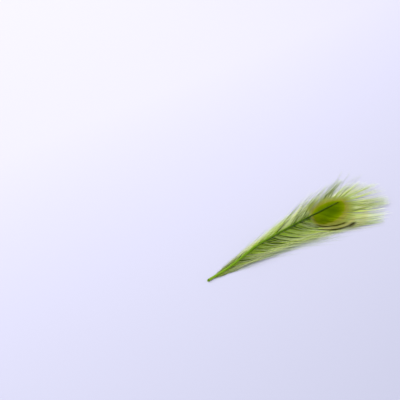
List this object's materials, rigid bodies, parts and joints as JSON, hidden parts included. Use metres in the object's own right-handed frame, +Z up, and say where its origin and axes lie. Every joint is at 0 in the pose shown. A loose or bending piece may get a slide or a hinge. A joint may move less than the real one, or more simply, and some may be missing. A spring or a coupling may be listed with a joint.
{
  "type": "peacock feather",
  "caption": "Dyed peacock tail feather lying face up: a slender curved shaft, a loose vane of long barbs on both sides, and a dense oval eye near the tip.",
  "frame": {"origin": "centre of the outline seen from above, at the height of the surface it rests on", "axes": "+X from the quill to the tip, +Z up out of the patterned side, +Y to the feather's left"},
  "size_m": [0.2888, 0.1068, 0.0152],
  "materials": {
    "vane": "soft loose barbs, dyed olive and khaki green, paler at the tips",
    "eye": "satin overlapping barbs, dyed dark olive inside a khaki ring",
    "shaft": "smooth keratin, dyed lime green, satin"
  },
  "bodies": {
    "root": {"feather": "vane"}
  },
  "joints": []
}
